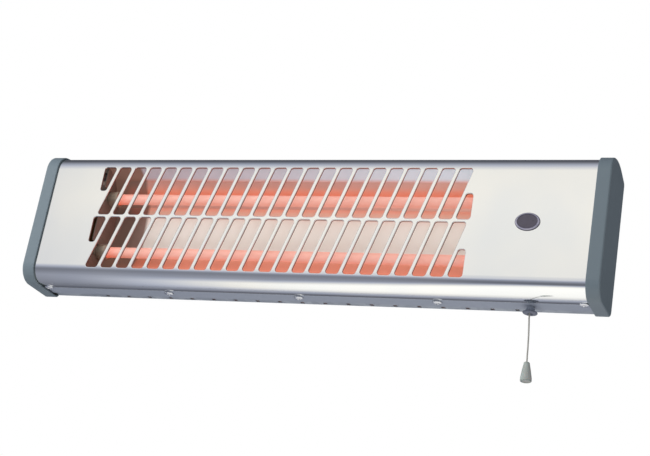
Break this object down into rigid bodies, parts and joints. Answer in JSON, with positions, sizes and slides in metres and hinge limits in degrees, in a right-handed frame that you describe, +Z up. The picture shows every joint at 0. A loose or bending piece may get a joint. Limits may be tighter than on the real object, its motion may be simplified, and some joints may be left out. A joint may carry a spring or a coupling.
{
  "type": "electric bar heater",
  "caption": "Wall-mounted radiant bar heater: slotted polished cover, plastic end caps, glowing quartz tubes over a reflector, and a pull-cord switch below.",
  "frame": {"origin": "centre of the back plate's flat rear face, which lies on the wall", "axes": "+X to the right as seen from the room, -Y out of the wall into the room, +Z up"},
  "size_m": [0.6, 0.062, 0.2149],
  "materials": {
    "cover": "polished bright sheet steel, mirror-like with faint rolling lines",
    "cap": "blue-grey moulded plastic with a satin skin",
    "tray": "galvanised sheet steel",
    "screw": "bright plated steel",
    "badge": "dark glossy blank oval",
    "reflector": "bright rolled aluminium",
    "quartz": "milky quartz glass, glowing orange",
    "coil": "resistance wire, glowing orange",
    "ceramic": "unglazed cream ceramic",
    "brass": "plain brass",
    "switch": "black moulded plastic",
    "nylon": "natural white nylon",
    "spring": "spring steel wire",
    "guide": "dark blue-grey moulded plastic",
    "cord": "thin twisted white cord",
    "bell": "pale grey-green moulded plastic",
    "bush": "black rubber",
    "wire": "heat-proof sleeving"
  },
  "bodies": {
    "base": {"front_cover": "cover", "end_cap_right": "cap", "end_cap_left": "cap", "back_plate": "tray", "cap_screw_left_lower": "screw", "cap_screw_left_upper": "screw", "cap_screw_right_lower": "screw", "cap_screw_right_upper": "screw", "cover_screw_1": "screw", "cover_screw_2": "screw", "cover_screw_3": "screw", "cover_screw_4": "screw", "cover_screw_5": "screw", "bracket_screw_left_lower": "screw", "bracket_screw_left_upper": "screw", "bracket_screw_right_lower": "screw", "bracket_screw_right_upper": "screw", "shield_screw": "screw", "earth_screw": "screw", "badge": "badge", "reflector": "reflector", "quartz_tube_upper": "quartz", "quartz_tube_lower": "quartz", "heating_coil_upper": "coil", "heating_coil_lower": "coil", "ceramic_end_upper_left": "ceramic", "ceramic_end_upper_right": "ceramic", "ceramic_end_lower_left": "ceramic", "ceramic_end_lower_right": "ceramic", "terminal_stud_upper_left": "brass", "terminal_stud_upper_right": "brass", "terminal_stud_lower_left": "brass", "terminal_stud_lower_right": "brass", "link_strap": "brass", "switch_terminal_1": "brass", "switch_terminal_2": "brass", "switch_terminal_3": "brass", "tube_bracket_left": "tray", "tube_bracket_right": "tray", "heat_shield": "tray", "switch_housing": "switch", "switch_lid": "switch", "terminal_block": "nylon", "return_spring": "spring", "cord_guide": "guide", "inlet_bush": "bush", "wire_upper_tube": "wire", "wire_lower_tube": "wire", "wire_live": "wire", "wire_neutral": "wire", "wire_earth": "wire"},
    "pull_rod": {"switch_plunger": "nylon", "cord_stub": "cord"},
    "ratchet": {"ratchet_wheel": "nylon"},
    "cord_hang": {"pull_cord": "cord", "cord_bell": "bell"}
  },
  "joints": [
    {"name": "cord_pull", "type": "slide", "parent": "base", "child": "pull_rod", "axis": [0, 0, -1], "range_m": [0, 0.01], "stiffness_N_per_m": 400, "springref_m": -0.01, "deforming": ["return_spring"]},
    {"name": "ratchet_turn", "type": "hinge", "parent": "base", "child": "ratchet", "pos_m": [0.2352, -0.019, -0.03536], "axis": [0, -1, 0], "range_deg": [0, 90]},
    {"name": "cord_swing", "type": "hinge", "parent": "pull_rod", "child": "cord_hang", "pos_m": [0.2276, -0.019, -0.0749], "axis": [0, 1, 0], "range_deg": [-40, 40]}
  ],
  "couplings": [
    {"joint": "ratchet_turn", "follows": "cord_pull", "rad_per_m": 157}
  ]
}
